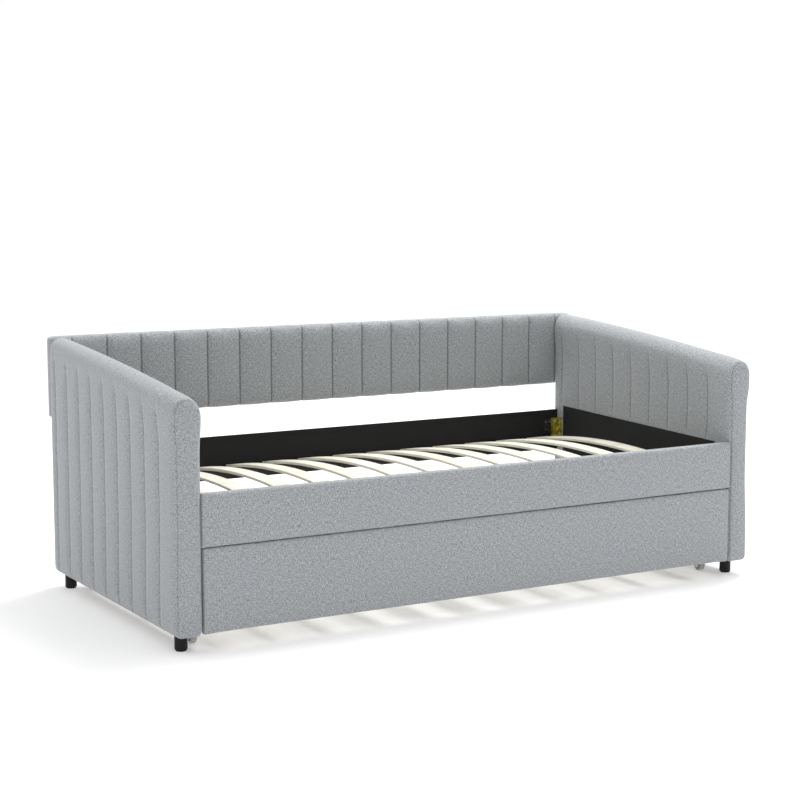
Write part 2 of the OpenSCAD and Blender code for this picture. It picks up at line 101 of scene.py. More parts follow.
ARM_STEP = 0.009             # spacing of the sections that lie beyond the outermost seams
BACK_SEAM_PITCH = 0.1207
BACK_SEAMS_EACH_SIDE = 8
BACK_ROUND = (0.024, 0.019, 8)
BACK_RADII = (0.017, 0.003)  # of the front and rear edges
BACK_PUFF = 0.0075
BACK_STEP = 0.01
RAIL_ROUND = (0.006, 0.005, 3)
RAIL_RADII = (0.0055, 0.002)  # of the outer and inner edges
RAIL_SECTIONS = 150
RAIL_ROW = 0.012             # height of a row of faces
RAIL_END_GAP = 0.0005        # how far a rail's cover stops short of its box
RAIL_PUFF = 0.003
REAR_RAIL_PUFF = 0.0015
RAIL_HANG = 0.0022           # how far the front rail's cover hangs below its box
TRUNDLE_RISE = 0.0006        # how far the trundle front's cover stands above its box
TRUNDLE_PAST = 0.0015        # how far it reaches past its ends
ON_SEAM = 1e-5               # how near to a seam a point is on it
SEAM_SINK = 0.0045           # how far a seam is pulled into the padding
BORDER_SINK = 0.0032         # and the seam round the arm's front
BEHIND_BOARD = 0.0002        # how far a cover reaches past the plane of the board inside it
BELOW_TIMBER = 0.0015        # how far the arm's cover hangs below the timber inside it
OVER_TIMBER = 0.001          # the least cloth over the timber at the arm's side
PRESSURE = 4
SIM_FRAMES = 20

# ---- stretched linings ----

CLOTH_GAP = 0.0005           # air behind a lining
CLOTH_THICK = 0.0012
HEM = 0.014                  # width of the folded top edge
HEM_LIFT = 0.0005            # how far the fold stands out
SLACK = 0.0006               # height of the cloth's faint ripples
SIDE_IN = 0.001              # how far a lining stops short of its board's ends
ABOVE_SLOT = 0.0009          # from the trundle front's box up to the front rail lining

# ---- fabric ----

THREAD = 0.0014              # pitch of the weave
SLUB_STRETCH = 5             # how much longer a slub is than it is wide

# ---- small helpers ----


def smooth(x, low, high):
    """0 below low, 1 above high, and a smooth step between them."""
    t = np.clip((np.asarray(x, float) - low) / (high - low), 0.0, 1.0)
    return t * t * (3 - 2 * t)


def coords(piece):
    """The piece's vertices as an array."""
    out = np.empty(len(piece.data.vertices) * 3)
    piece.data.vertices.foreach_get("co", out)
    return out.reshape(-1, 3)


def set_coords(piece, points):
    """Moves the piece's vertices."""
    piece.data.vertices.foreach_set("co", np.asarray(points, float).ravel())
    piece.data.update()


def normals(piece):
    """The piece's vertex normals as an array."""
    out = np.empty(len(piece.data.vertices) * 3)
    piece.data.vertex_normals.foreach_get("vector", out)
    return out.reshape(-1, 3)


def new_piece(name, points, faces, material):
    """A smooth-shaded mesh object with its faces turned outwards."""
    mesh = bpy.data.meshes.new(name)
    mesh.from_pydata([tuple(p) for p in points], [], [tuple(f) for f in faces])
    work = bmesh.new()
    work.from_mesh(mesh)
    bmesh.ops.recalc_face_normals(work, faces=work.faces)
    work.to_mesh(mesh)
    work.free()
    mesh.shade_smooth()
    mesh.materials.append(material)
    piece = bpy.data.objects.new(name, mesh)
    bpy.context.scene.collection.objects.link(piece)
    return piece


def mark_seam_shade(piece, seam_shade):
    """Stores how deep in a seam each point lies, from 0 to 1, for the painted shade along the
    fabric's seams.
    """
    attribute = piece.data.attributes.new("seam_shade", "FLOAT", "POINT")
    attribute.data.foreach_set("value", np.asarray(seam_shade, float))


def subdivide(piece):
    """One level of subdivision surface, applied."""
    modifier = piece.modifiers.new("subdivide", "SUBSURF")
    modifier.levels = 1
    modifier.render_levels = 1
    apply_modifiers(piece)


def apply_modifiers(piece):
    """Turns the piece's modifiers into plain mesh."""
    graph = bpy.context.evaluated_depsgraph_get()
    mesh = bpy.data.meshes.new_from_object(piece.evaluated_get(graph))
    piece.modifiers.clear()
    old = piece.data
    piece.data = mesh
    bpy.data.meshes.remove(old)


def duplicate(piece, name):
    """A copy of the piece with a mesh of its own."""
    copy = bpy.data.objects.new(name, piece.data.copy())
    bpy.context.scene.collection.objects.link(copy)
    return copy


def mirror(piece):
    """Turns a right-hand piece into a left-hand one."""
    set_coords(piece, coords(piece) * (-1, 1, 1))
    piece.data.flip_normals()


# ---- outlines ----


def arc(centre, radius, start, end, steps=12):
    """Points on an arc, angles in degrees, both ends included."""
    angles = np.radians(np.linspace(start, end, steps + 1))
    circle = np.stack([np.cos(angles), np.sin(angles)], 1)
    return np.asarray(centre) + radius * circle


def resample(path, count):
    """count + 1 points, evenly spaced along a path."""
    step = np.linalg.norm(np.diff(path, axis=0), axis=1)
    length = np.concatenate([[0], np.cumsum(step)])
    at = np.linspace(0, length[-1], count + 1)
    return np.stack([np.interp(at, length, path[:, k]) for k in range(2)], 1)


def ring(sides, long_count, short_count):
    """A closed ring from four paths: up one side, over the top, down the other side, and back."""
    counts = (long_count, short_count, long_count, short_count)
    return np.concatenate([resample(p, n)[:-1] for p, n in zip(sides, counts)])


def arm_section(ridge, inset):
    """The arm's section in (x, z): upright sides, full-round top and soft bottom edges."""
    x0, x1 = ARM_LOW.x + inset, ARM_HIGH.x - inset
    z0 = ARM_LOW.z + inset - BELOW_TIMBER
    radius = ARM_R - inset
    soft = ARM_SOFT - inset
    top = ((x0 + x1) / 2, ridge - ARM_R)
    low_in = (x0 + soft, z0 + soft)
    low_out = (x1 - soft, z0 + soft)
    return [
        np.concatenate([arc(low_in, soft, 225, 180), arc(top, radius, 180, 140)]),
        arc(top, radius, 140, 40),
        np.concatenate([arc(top, radius, 40, 0), arc(low_out, soft, 0, -45)]),
        np.concatenate([arc(low_out, soft, -45, -90), arc(low_in, soft, 270, 225)]),
    ]


def slab_section(low, high, radii, inset):
    """A rounded rectangle in (y, z): front face, top, rear face and bottom.

    radii are the corners' radii on the front face and on the rear face.
    """
    inset_z = 0.6 * inset
    y0, z0 = low[0] + inset, low[1] + inset_z
    y1, z1 = high[0] - inset, high[1] - inset_z
    front, rear = (max(radius - inset, 0.0015) for radius in radii)
    a, b = (y0 + front, z0 + front), (y0 + front, z1 - front)
    c, d = (y1 - rear, z1 - rear), (y1 - rear, z0 + rear)
    return [
        np.concatenate([arc(a, front, 225, 180), arc(b, front, 180, 135)]),
        np.concatenate([arc(b, front, 135, 90), arc(c, rear, 90, 45)]),
        np.concatenate([arc(c, rear, 45, 0), arc(d, rear, 0, -45)]),
        np.concatenate([arc(d, rear, -45, -90), arc(a, front, 270, 225)]),
    ]


# ---- closed lofts with a mapped grid on both ends ----


def end_grid(count, long_count, short_count):
    """Ring indices round the edge of an end cap, as a grid with -1 where a point is missing."""
    grid = -np.ones((long_count + 1, short_count + 1), int)
    for i in range(long_count + 1):
        grid[i, 0] = i
        grid[i, -1] = long_count + short_count + (long_count - i)
    for j in range(short_count + 1):
        grid[-1, j] = long_count + j
        grid[0, j] = (2 * long_count + short_count + (short_count - j)) % count
    return grid


def fill_end(ring_points, long_count, short_count):
    """The inner points of an end cap, blended from its four edges."""
    grid = end_grid(len(ring_points), long_count, short_count)
    left, right = ring_points[grid[:, 0]], ring_points[grid[:, -1]]
    low, high = ring_points[grid[0]], ring_points[grid[-1]]
    v = np.linspace(0, 1, long_count + 1)[:, None, None]
    u = np.linspace(0, 1, short_count + 1)[None, :, None]
    across = (1 - u) * left[:, None] + u * right[:, None]
    up = (1 - v) * low[None] + v * high[None]
    corners = (
        (1 - u) * (1 - v) * low[0]
        + u * (1 - v) * low[-1]
        + (1 - u) * v * high[0]
        + u * v * high[-1]
    )
    return (across + up - corners)[1:-1, 1:-1].reshape(-1, 3), grid


def loft(name, rings, long_count, short_count, material):
    """A closed piece through the rings, an array of (station, point, xyz)."""
    stations, count, _ = rings.shape
    points = [rings.reshape(-1, 3)]
    faces = []
    for s in range(stations - 1):
        for i in range(count):
            k = (i + 1) % count
            faces.append((s * count + i, s * count + k, (s + 1) * count + k, (s + 1) * count + i))
    total = stations * count
    for s in (0, stations - 1):
        inner, grid = fill_end(rings[s], long_count, short_count)
        index = grid + s * count
        index[1:-1, 1:-1] = total + np.arange(len(inner)).reshape(grid[1:-1, 1:-1].shape)
        points.append(inner)
        total += len(inner)
        for i in range(long_count):
            for j in range(short_count):
                faces.append((index[i, j], index[i, j + 1], index[i + 1, j + 1], index[i + 1, j]))
    return new_piece(name, np.concatenate(points), faces, material)


def end_stations(depth, inset, steps):
    """How far in from an end each station stands, and how much its section shrinks there."""
    angles = np.linspace(math.pi / 2, 0, steps + 1)
    return depth * (1 - np.sin(angles)), inset * (1 - np.cos(angles))


def channel_stations(start, end, seams, even):
    """Stations from start to end: crowded beside the seams, and evenly spaced at both ends."""
    half = np.array([0.028, 0.075, 0.155, 0.265, 0.38, 0.5])
    share = np.concatenate([half, 1 - half[-2::-1]])
    beside = 0.003
    marks = [start, *seams, end]
    out = [start]
    for i, (a, b) in enumerate(zip(marks[:-1], marks[1:])):
        if i in (0, len(marks) - 2):
            inner = np.linspace(a, b, max(2, round((b - a) / even)) + 1)[1:-1]
            near = b - beside if i == 0 else a + beside
            out.extend(sorted([*inner, near]))
        else:
            out.extend(a + share * (b - a))
        out.append(b)
    return np.array(out)


# ---- cloth simulation ----


def inflate(piece, hold, cap):
    """Puffs a padded piece with a short pressure simulation.

    hold is each point's pin weight, and cap how far each point may move from its start.
    """
    group = piece.vertex_groups.new(name="hold")
    for weight in np.unique(np.round(hold, 2)):
        group.add(np.nonzero(np.round(hold, 2) == weight)[0].tolist(), float(weight), "REPLACE")
    rest = coords(piece)
    cloth = piece.modifiers.new("cloth", "CLOTH")
    settings = cloth.settings
    settings.use_pressure = True
    settings.uniform_pressure_force = PRESSURE
    settings.effector_weights.gravity = 0
    settings.vertex_group_mass = group.name
    settings.quality = 5
    cloth.collision_settings.use_collision = False
    cloth.collision_settings.use_self_collision = False
    cloth.point_cache.frame_start = 1
    cloth.point_cache.frame_end = SIM_FRAMES
    scene = bpy.context.scene
    for number in range(1, SIM_FRAMES + 1):
        scene.frame_set(number)
    graph = bpy.context.evaluated_depsgraph_get()
    puffed = piece.evaluated_get(graph)
    moved = np.empty(len(rest) * 3)
    puffed.data.vertices.foreach_get("co", moved)
    piece.modifiers.remove(cloth)
    piece.vertex_groups.clear()
    scene.frame_set(1)
    move = moved.reshape(-1, 3) - rest
    far = np.linalg.norm(move, axis=1)
    kept = cap * np.tanh(far / np.maximum(cap, 1e-6))
    set_coords(piece, rest + move * (kept / np.maximum(far, 1e-9))[:, None])


# ---- materials ----


def node(tree, kind, **values):
    """A shader node with some of its properties set."""
    made = tree.nodes.new(kind)
    for key, value in values.items():
        setattr(made, key, value)
    return made


def math_node(tree, operation, a, b=None):
    """A Math node; a and b are sockets or numbers."""
    made = node(tree, "ShaderNodeMath", operation=operation)
    for socket, value in zip(made.inputs, (a, b)):
        if value is None:
            continue
        if isinstance(value, (int, float)):
            socket.default_value = value
        else:
            tree.links.new(value, socket)
    return made.outputs[0]


def new_material(name, **shader):
    """A material, its node tree and its Principled shader, with fixed values on the shader."""
    material = bpy.data.materials.new(name)
    material.use_nodes = True
    tree = material.node_tree
    principled = tree.nodes["Principled BSDF"]
    for key, value in shader.items():
        principled.inputs[key.replace("_", " ")].default_value = value
    return material, tree, principled


def object_place(tree, scale=(1, 1, 1)):
    """The point on the object in metres, scaled along each axis."""
    place = node(tree, "ShaderNodeTexCoord").outputs["Object"]
    mapping = node(tree, "ShaderNodeMapping")
    mapping.inputs["Scale"].default_value = scale
    tree.links.new(place, mapping.inputs["Vector"])
    return mapping.outputs[0]


def noise(tree, vector, scale, detail=2.0, roughness=0.5):
    """Noise from 0 to 1, with its scale per metre."""
    made = node(tree, "ShaderNodeTexNoise")
    made.inputs["Scale"].default_value = scale
    made.inputs["Detail"].default_value = detail
    made.inputs["Roughness"].default_value = roughness
    tree.links.new(vector, made.inputs["Vector"])
    return made.outputs["Fac"]


def ramp(tree, factor, stops):
    """A colour ramp; stops are (position, colour)."""
    made = node(tree, "ShaderNodeValToRGB")
    elements = made.color_ramp.elements
    while len(elements) < len(stops):
        elements.new(0.5)
    for element, (position, colour) in zip(elements, stops):
        element.position = position
        element.color = (*colour, 1)
    tree.links.new(factor, made.inputs[0])
    return made.outputs[0]


def multiply(tree, a, b):
    """One colour times another."""
    made = node(tree, "ShaderNodeMix", data_type="RGBA", blend_type="MULTIPLY")
    made.inputs[0].default_value = 1
    tree.links.new(a, made.inputs[6])
    tree.links.new(b, made.inputs[7])
    return made.outputs[2]


def pick(tree, factor, usual, other):
    """The usual number, or the other one where the factor is 1."""
    made = node(tree, "ShaderNodeMix", data_type="FLOAT")
    tree.links.new(factor, made.inputs[0])
    tree.links.new(usual, made.inputs[2])
    tree.links.new(other, made.inputs[3])
    return made.outputs[0]


def weighted(tree, *parts):
    """The sum of (socket, weight) pairs."""
    total = None
    for socket, weight in parts:
        part = math_node(tree, "MULTIPLY", socket, weight)
        total = part if total is None else math_node(tree, "ADD", total, part)
    return total


def scaled(tree, socket, factor, offset):
    """The socket times a factor, plus an offset."""
    made = node(tree, "ShaderNodeMath", operation="MULTIPLY_ADD")
    tree.links.new(socket, made.inputs[0])
    made.inputs[1].default_value = factor
    made.inputs[2].default_value = offset
    return made.outputs[0]


def add_bump(tree, principled, height, distance, strength=1.0):
    """Bump on the shader from a height socket."""
    bump = node(tree, "ShaderNodeBump")
    bump.inputs["Strength"].default_value = strength
    bump.inputs["Distance"].default_value = distance
    tree.links.new(height, bump.inputs["Height"])
    tree.links.new(bump.outputs[0], principled.inputs["Normal"])


def cloth_plane(tree):
    """Two coordinates in metres that lie in the cloth, picked by which way it faces."""
    texture = node(tree, "ShaderNodeTexCoord")
    place = node(tree, "ShaderNodeSeparateXYZ")
    facing = node(tree, "ShaderNodeSeparateXYZ")
    tree.links.new(texture.outputs["Object"], place.inputs[0])
    tree.links.new(texture.outputs["Normal"], facing.inputs[0])
    sideways = math_node(tree, "GREATER_THAN", math_node(tree, "ABSOLUTE", facing.outputs[0]), 0.7)
    upwards = math_node(tree, "GREATER_THAN", math_node(tree, "ABSOLUTE", facing.outputs[2]), 0.7)
    x, y, z = place.outputs
    return pick(tree, sideways, x, y), pick(tree, upwards, z, y)


def flat_vector(tree, x, y):
    """A vector from two sockets, with z at 0."""
    made = node(tree, "ShaderNodeCombineXYZ")
    tree.links.new(x, made.inputs[0])
    tree.links.new(y, made.inputs[1])
    return made.outputs[0]


def heather_fabric(name, dark, light):
    """Linen-look plain weave: slubs in both directions, a melange of greys, painted shade in the seam
    creases.
    """
    material, tree, principled = new_material(
        name, Roughness=0.92, Sheen_Weight=0.55, Sheen_Roughness=0.35, Specular_IOR_Level=0.2
    )
    u, v = cloth_plane(tree)
    wave_u = math_node(tree, "SINE", math_node(tree, "MULTIPLY", u, math.pi / THREAD))
    wave_v = math_node(tree, "SINE", math_node(tree, "MULTIPLY", v, math.pi / THREAD))
    over = math_node(tree, "GREATER_THAN", math_node(tree, "MULTIPLY", wave_u, wave_v), 0)
    warp = math_node(tree, "ABSOLUTE", wave_u)
    weft = math_node(tree, "ABSOLUTE", wave_v)
    height = pick(tree, over, weft, warp)
    narrow_u = math_node(tree, "MULTIPLY", u, SLUB_STRETCH)
    narrow_v = math_node(tree, "MULTIPLY", v, SLUB_STRETCH)
    along_v = noise(tree, flat_vector(tree, narrow_u, v), 90, 2.0, 0.7)
    along_u = noise(tree, flat_vector(tree, u, narrow_v), 90, 2.0, 0.7)
    slub = pick(tree, over, along_u, along_v)
    mottle = noise(tree, flat_vector(tree, u, v), 330, 4.0, 0.85)
    tone = weighted(tree, (slub, 0.45), (mottle, 0.55))
    middle = tuple((a + b) / 2 for a, b in zip(dark, light))
    colour = ramp(tree, tone, [(0.41, dark), (0.5, middle), (0.59, light)])
    shaded = multiply(tree, colour, scaled(tree, height, 0.25, 0.8))
    # Painted shade: the colour is darkened along the sewn seams, more where the seam sinks deeper.
    seam_shade = node(tree, "ShaderNodeAttribute", attribute_name="seam_shade").outputs["Fac"]
    painted_seam_shade = ramp(tree, seam_shade, [(0.1, (1, 1, 1)), (0.9, (0.42, 0.42, 0.43))])
    tree.links.new(multiply(tree, shaded, painted_seam_shade), principled.inputs["Base Color"])
    add_bump(tree, principled, height, 0.00035, 0.7)
    return material


def felt(name, colour):
    """Thin non-woven lining: matt, faintly fibrous."""
    material, tree, principled = new_material(name, Roughness=0.85, Specular_IOR_Level=0.25)
    place = object_place(tree)
    fibres = noise(tree, place, 900, 4.0, 0.7)
    clouds = noise(tree, place, 9, 2.0)
    tone = weighted(tree, (fibres, 0.85), (clouds, 0.15))
    low = tuple(c * 0.72 for c in colour)
    high = tuple(c * 1.3 for c in colour)
    tree.links.new(ramp(tree, tone, [(0.35, low), (0.65, high)]), principled.inputs["Base Color"])
    add_bump(tree, principled, fibres, 0.0004, 0.6)
    return material


def wood(name, dark, light, grain, roughness=0.5, ply=0.0):
    """Timber with grain along one axis; ply adds the lines of thin layers up its edges."""
    material, tree, principled = new_material(name, Roughness=roughness)
    stretch = {"x": (0.06, 1, 1), "y": (1, 0.06, 1), "z": (1, 1, 0.06)}[grain]
    place = object_place(tree, stretch)
    streaks = noise(tree, place, 90, 5.0, 0.6)
    fine = noise(tree, place, 700, 3.0, 0.6)
    broad = noise(tree, place, 9, 2.0)
    tone = weighted(tree, (streaks, 0.5), (fine, 0.25), (broad, 0.25))
    colour = ramp(tree, tone, [(0.32, dark), (0.55, light), (0.7, light)])
    if ply:
        layers = noise(tree, object_place(tree, (0.02, 0.02, 1)), ply, 0.0)
        edge = ramp(tree, layers, [(0.4, (0.9, 0.87, 0.8)), (0.5, (1, 1, 1))])
        colour = multiply(tree, colour, edge)
    tree.links.new(colour, principled.inputs["Base Color"])
    add_bump(tree, principled, fine, 0.0003, 0.4)
    return material


def metal(name, dark, light, roughness):
    """Plated or bare steel with slight stains and brushed scratches."""
    material, tree, principled = new_material(name, Metallic=1.0)
    place = object_place(tree)
    stains = noise(tree, place, 60, 3.0, 0.65)
    tree.links.new(ramp(tree, stains, [(0.35, dark), (0.62, light)]), principled.inputs["Base Color"])
    scratches = noise(tree, object_place(tree, (1, 1, 0.1)), 600, 2.0)
    rough = scaled(tree, scratches, 0.25, roughness - 0.12)
    tree.links.new(rough, principled.inputs["Roughness"])
    add_bump(tree, principled, scratches, 0.0002, 0.4)
    return material


def plastic(name, dark, light, roughness, gloss=0.5):
    """Moulded plastic or powder coat with a fine grain."""
    material, tree, principled = new_material(name, Specular_IOR_Level=gloss)
    place = object_place(tree)
    texture = noise(tree, place, 1600, 2.0)
    wear = noise(tree, place, 45, 4.0, 0.6)
    tree.links.new(ramp(tree, wear, [(0.4, dark), (0.65, light)]), principled.inputs["Base Color"])
    tree.links.new(scaled(tree, wear, 0.2, roughness - 0.1), principled.inputs["Roughness"])
    add_bump(tree, principled, texture, 0.0003, 0.5)
    return material


FABRIC = heather_fabric("heather_grey_weave", (0.12, 0.132, 0.147), (0.52, 0.543, 0.556))
LINING = felt("black_nonwoven", (0.014, 0.014, 0.0145))
BACK_CLOTH = felt("grey_backing_cloth", (0.27, 0.28, 0.29))
TIMBER = wood("frame_timber", (0.4, 0.31, 0.21), (0.6, 0.5, 0.37), "z", 0.6)
TRUNDLE_TIMBER_X = wood("trundle_timber_across", (0.4, 0.32, 0.22), (0.6, 0.51, 0.39), "x", 0.55)
TRUNDLE_TIMBER_Y = wood("trundle_timber_along", (0.4, 0.32, 0.22), (0.6, 0.51, 0.39), "y", 0.55)
SLAT_WOOD = wood("birch_slat", (0.58, 0.56, 0.47), (0.72, 0.71, 0.62), "y", 0.42, 900)
LEDGER = plastic("black_painted_timber", (0.012, 0.012, 0.012), (0.03, 0.03, 0.03), 0.6)
YELLOW_ZINC = metal("yellow_zinc", (0.3, 0.28, 0.04), (0.7, 0.64, 0.22), 0.38)
BLACK_STEEL = plastic("black_steel", (0.012, 0.012, 0.012), (0.03, 0.03, 0.03), 0.45)
STEEL = metal("zinc_steel", (0.42, 0.42, 0.43), (0.7, 0.7, 0.7), 0.35)
BLACK_PLASTIC = plastic(
    "black_plastic", (0.005, 0.005, 0.0055), (0.011, 0.011, 0.0115), 0.45, gloss=0.2
)
GREY_PLASTIC = plastic("grey_nylon", (0.36, 0.365, 0.365), (0.46, 0.465, 0.465), 0.4)

CAD_FINISH = {
    "grey_fabric": FABRIC,
    "black_lining": LINING,
    "timber": TIMBER,
    "trundle_timber": TRUNDLE_TIMBER_X,
    "slat_wood": SLAT_WOOD,
    "black_ledger": LEDGER,
    "yellow_zinc": YELLOW_ZINC,
    "black_steel": BLACK_STEEL,
    "steel": STEEL,
    "black_plastic": BLACK_PLASTIC,
    "grey_plastic": GREY_PLASTIC,
}


def dress_cad_nodes():
    """Gives every CAD node the finish of its slot, with the grain along the part."""
    along_y = ("trundle_left_side", "trundle_right_side", "trundle_ledgers", "trundle_beam")
    for name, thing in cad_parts.items():
        slot = thing.data.materials[0].name.split(".")[0]
        thing.data.materials[0] = TRUNDLE_TIMBER_Y if name in along_y else CAD_FINISH[slot]


# ---- arms ----


def arm_ridge(y):
    """Height of the arm's top: a slightly arched slope that droops at the front edge."""
    t = (y - ARM_LOW.y) / ARM_DEPTH
    slope = RIDGE_FRONT + (RIDGE_REAR - RIDGE_FRONT) * t
    droop = RIDGE_DROOP * math.exp(-(y - ARM_LOW.y) / DROOP_REACH)
    return slope + RIDGE_ARCH * 4 * t * (1 - t) - droop


def arm_side_bulge(arm, waist_in):
    """A roll of padding below the top, and an outer side pulled in lower down at the front.

    The outer side stays over the timber inside the arm.
    """
    points = coords(arm)
    x, y, z = points.T
    ridge = np.array([arm_ridge(v) for v in y])
    middle = (ARM_LOW.x + ARM_HIGH.x) / 2
    outer = np.clip((x - middle) / ARM_R, 0, 1)
    inner = np.clip((middle - x) / ARM_R, 0, 1)
    to_rear = smooth(y, ARM_LOW.y, ARM_HIGH.y)
    fade_start, fade_end = ARM_WAIST_FADE
    waist = smooth(z, *ARM_WAIST_RISE) * (1 - smooth(z, ridge - fade_start, ridge - fade_end))
    roll = np.exp(-(((z - ridge + ARM_ROLL_BELOW) / ARM_ROLL_WIDTH) ** 2))
    points[:, 0] += outer * (ARM_ROLL_OUTER * roll - waist_in * waist * (1 - to_rear))
    points[:, 0] -= inner * ARM_ROLL_INNER * roll
    timber_low, timber_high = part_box("right_arm_frame")
    beside = (y > timber_low.y) & (y < timber_high.y) & (x > middle + 0.6 * ARM_R)
    beside &= (z > ARM_LOW.z + 0.02) & (z < ridge - 0.03)
    points[beside, 0] = np.maximum(points[beside, 0], timber_high.x + OVER_TIMBER)
    set_coords(arm, points)


def arm_seams():
    """Where the sewn seams cross the arm, from the front to the rear."""
    return [ARM_HIGH.y - ARM_SEAM_FIRST - k * ARM_SEAM_PITCH for k in range(ARM_SEAMS)][::-1]


def arm_hold(points, seam_ys, border_y):
    """Each point's pin weight, how deep its seam is, and whether it has to stay flat."""
    x, y, z = points.T
    ridge = np.array([arm_ridge(v) for v in y])
    fade = 1 - smooth(z, ridge - 0.085, ridge - 0.045)
    on_seam = np.zeros(len(points), bool)
    for seam in seam_ys:
        on_seam |= np.abs(y - seam) < ON_SEAM
    border = (np.abs(y - border_y) < ON_SEAM) & (z > ARM_LOW.z + 0.02)
    to_front = (LINING_HIGH.y - y) / (LINING_HIGH.y - LINING_LOW.y)
    top_of_lining = LINING_HIGH.z - LINING_SLOPE * to_front
    flat = (x < ARM_LOW.x + 0.004) & (z < top_of_lining + 0.01)
    rear = y > ARM_HIGH.y - 0.006
    under = z < ARM_LOW.z + 0.012
    hold = np.clip(on_seam * fade + border + flat + rear + under, 0, 1)
    depth = SEAM_SINK * on_seam * fade * (1 - flat) + BORDER_SINK * border
    return hold, depth, flat | rear | under


def make_arm():
    """The right arm's padded cover, sewn in upright channels whose seams pucker a little."""
    front_depth, front_inset = end_stations(*ARM_FRONT_ROUND)
    rear_depth, rear_inset = end_stations(*ARM_REAR_ROUND)
    start, end = ARM_LOW.y + front_depth[-1], ARM_HIGH.y - rear_depth[-1]
    seams = arm_seams()
    body = channel_stations(start, end, seams, ARM_STEP)[1:-1]
    ys = np.concatenate([ARM_LOW.y + front_depth, body, (ARM_HIGH.y - rear_depth)[::-1]])
    insets = np.concatenate([front_inset, np.zeros(len(body)), rear_inset[::-1]])
    long_count, short_count = 64, 12
    rings = []
    for y, inset in zip(ys, insets):
        outline = ring(arm_section(arm_ridge(y), inset), long_count, short_count)
        rings.append(np.stack([outline[:, 0], np.full(len(outline), y), outline[:, 1]], 1))
    arm = loft("right_arm_upholstery", np.array(rings), long_count, short_count, FABRIC)
    border_y = ys[ARM_BORDER_STATION]
    start_points = coords(arm)
    hold, depth, flat = arm_hold(start_points, seams, border_y)
    # Painted shade along the seams, stronger where a seam sinks deeper.
    mark_seam_shade(arm, ARM_SEAM_SHADE * depth / SEAM_SINK)
    z = start_points[:, 2]
    pucker = 1 + 0.25 * np.sin(z * 190) * np.sin(z * 67 + 1)
    set_coords(arm, start_points - normals(arm) * (depth * pucker)[:, None])
    top = smooth(z, RIDGE_FRONT - 0.09, RIDGE_FRONT)
    cap = np.where(flat, 0.0005, ARM_PUFF - ARM_PUFF_LOST * top)
    inflate(arm, hold, cap)
    subdivide(arm)
    return arm


# ---- back panel, rails and trundle front ----


def make_slab(name, low, high, radii, xs, insets, counts, hold_rule, depth_rule, cap):
    """A padded panel that runs along x; its rules give each point's pin weight and seam depth."""
    rings = []
    for x, inset in zip(xs, insets):
        outline = ring(slab_section(low, high, radii, inset), *counts)
        rings.append(np.stack([np.full(len(outline), x), outline[:, 0], outline[:, 1]], 1))
    slab = loft(name, np.array(rings), *counts, FABRIC)
    points = coords(slab)
    depth = depth_rule(points)
    # Painted shade along the seams, in step with how far each seam sinks.
    mark_seam_shade(slab, depth / SEAM_SINK)
    set_coords(slab, points - normals(slab) * depth[:, None])
    hold = hold_rule(points)
    inflate(slab, hold, np.where(hold > 0.99, 0.0003, cap))
    subdivide(slab)
    return slab


def make_back():
    """The back panel's padded cover, sewn in channels of equal width."""
    reach = BACK_SEAMS_EACH_SIDE
    seams = [k * BACK_SEAM_PITCH for k in range(-reach, reach + 1)]
    depth, inset = end_stations(*BACK_ROUND)
    start, end = BACK_LOW.x + depth[-1], BACK_HIGH.x - depth[-1]
    body = channel_stations(start, end, seams, BACK_STEP)[1:-1]
    xs = np.concatenate([BACK_LOW.x + depth, body, (BACK_HIGH.x - depth)[::-1]])
    insets = np.concatenate([inset, np.zeros(len(body)), inset[::-1]])
    rear_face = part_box("back_lining")[0].y + BEHIND_BOARD
    behind_arm = ARM_LOW.x - 0.004

    def on_seam(points):
        found = np.zeros(len(points), bool)
        for seam in seams:
            found |= np.abs(points[:, 0] - seam) < ON_SEAM
        return found

    def hold(points):
        rear = points[:, 1] > rear_face - 0.012
        hidden = np.abs(points[:, 0]) > behind_arm
        return np.clip(on_seam(points) + rear + hidden, 0, 1).astype(float)

    def sink(points):
        front = 1 - smooth(points[:, 1], BACK_LOW.y + 0.012, BACK_LOW.y + 0.03)
        return SEAM_SINK * on_seam(points) * front

    low, high = (BACK_LOW.y, BACK_LOW.z), (rear_face, BACK_HIGH.z)
    return make_slab("back_upholstery", low, high, BACK_RADII, xs, insets, (22, 6), hold, sink,
                     BACK_PUFF)


def make_rail(name, node_name, cap=RAIL_PUFF, down=0.0, up=0.0, end_gap=RAIL_END_GAP):
    """A board's padded cover: flat on the board's inner side and softly crowned outside.

    down and up lower its bottom edge and raise its top edge, and end_gap is how far it stops
    short of its box at both ends.
    """
    low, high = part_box(node_name)
    low.z -= down
    high.z += up
    front = abs(low.y - CAD_BOX[0].y) < 0.001
    depth, inset = end_stations(*RAIL_ROUND)
    x0, x1 = low.x + end_gap, high.x - end_gap
    body = np.linspace(x0 + depth[-1], x1 - depth[-1], RAIL_SECTIONS)[1:-1]
    xs = np.concatenate([x0 + depth, body, (x1 - depth)[::-1]])
    insets = np.concatenate([inset, np.zeros(len(body)), inset[::-1]])
    y0 = low.y if front else low.y - BEHIND_BOARD
    y1 = high.y + BEHIND_BOARD if front else high.y
    radii = RAIL_RADII if front else RAIL_RADII[::-1]

    def hold(points):
        inner = points[:, 1] > y1 - 0.004 if front else points[:, 1] < y0 + 0.004
        ends = (points[:, 0] < x0 + 0.004) | (points[:, 0] > x1 - 0.004)
        lower = (points[:, 2] < low.z + 0.003) * (down > 0)
        upper = (points[:, 2] > high.z - 0.003) * (up > 0)
        return np.clip(inner.astype(float) + ends + lower + upper, 0, 1)

    def sink(points):
        return np.zeros(len(points))

    rows = max(8, round((high.z - low.z) / RAIL_ROW))
    corner_low, corner_high = (y0, low.z), (y1, high.z)
    return make_slab(name, corner_low, corner_high, radii, xs, insets, (rows, 5), hold, sink, cap)


# ---- linings: thin sheets stretched on the inner faces ----


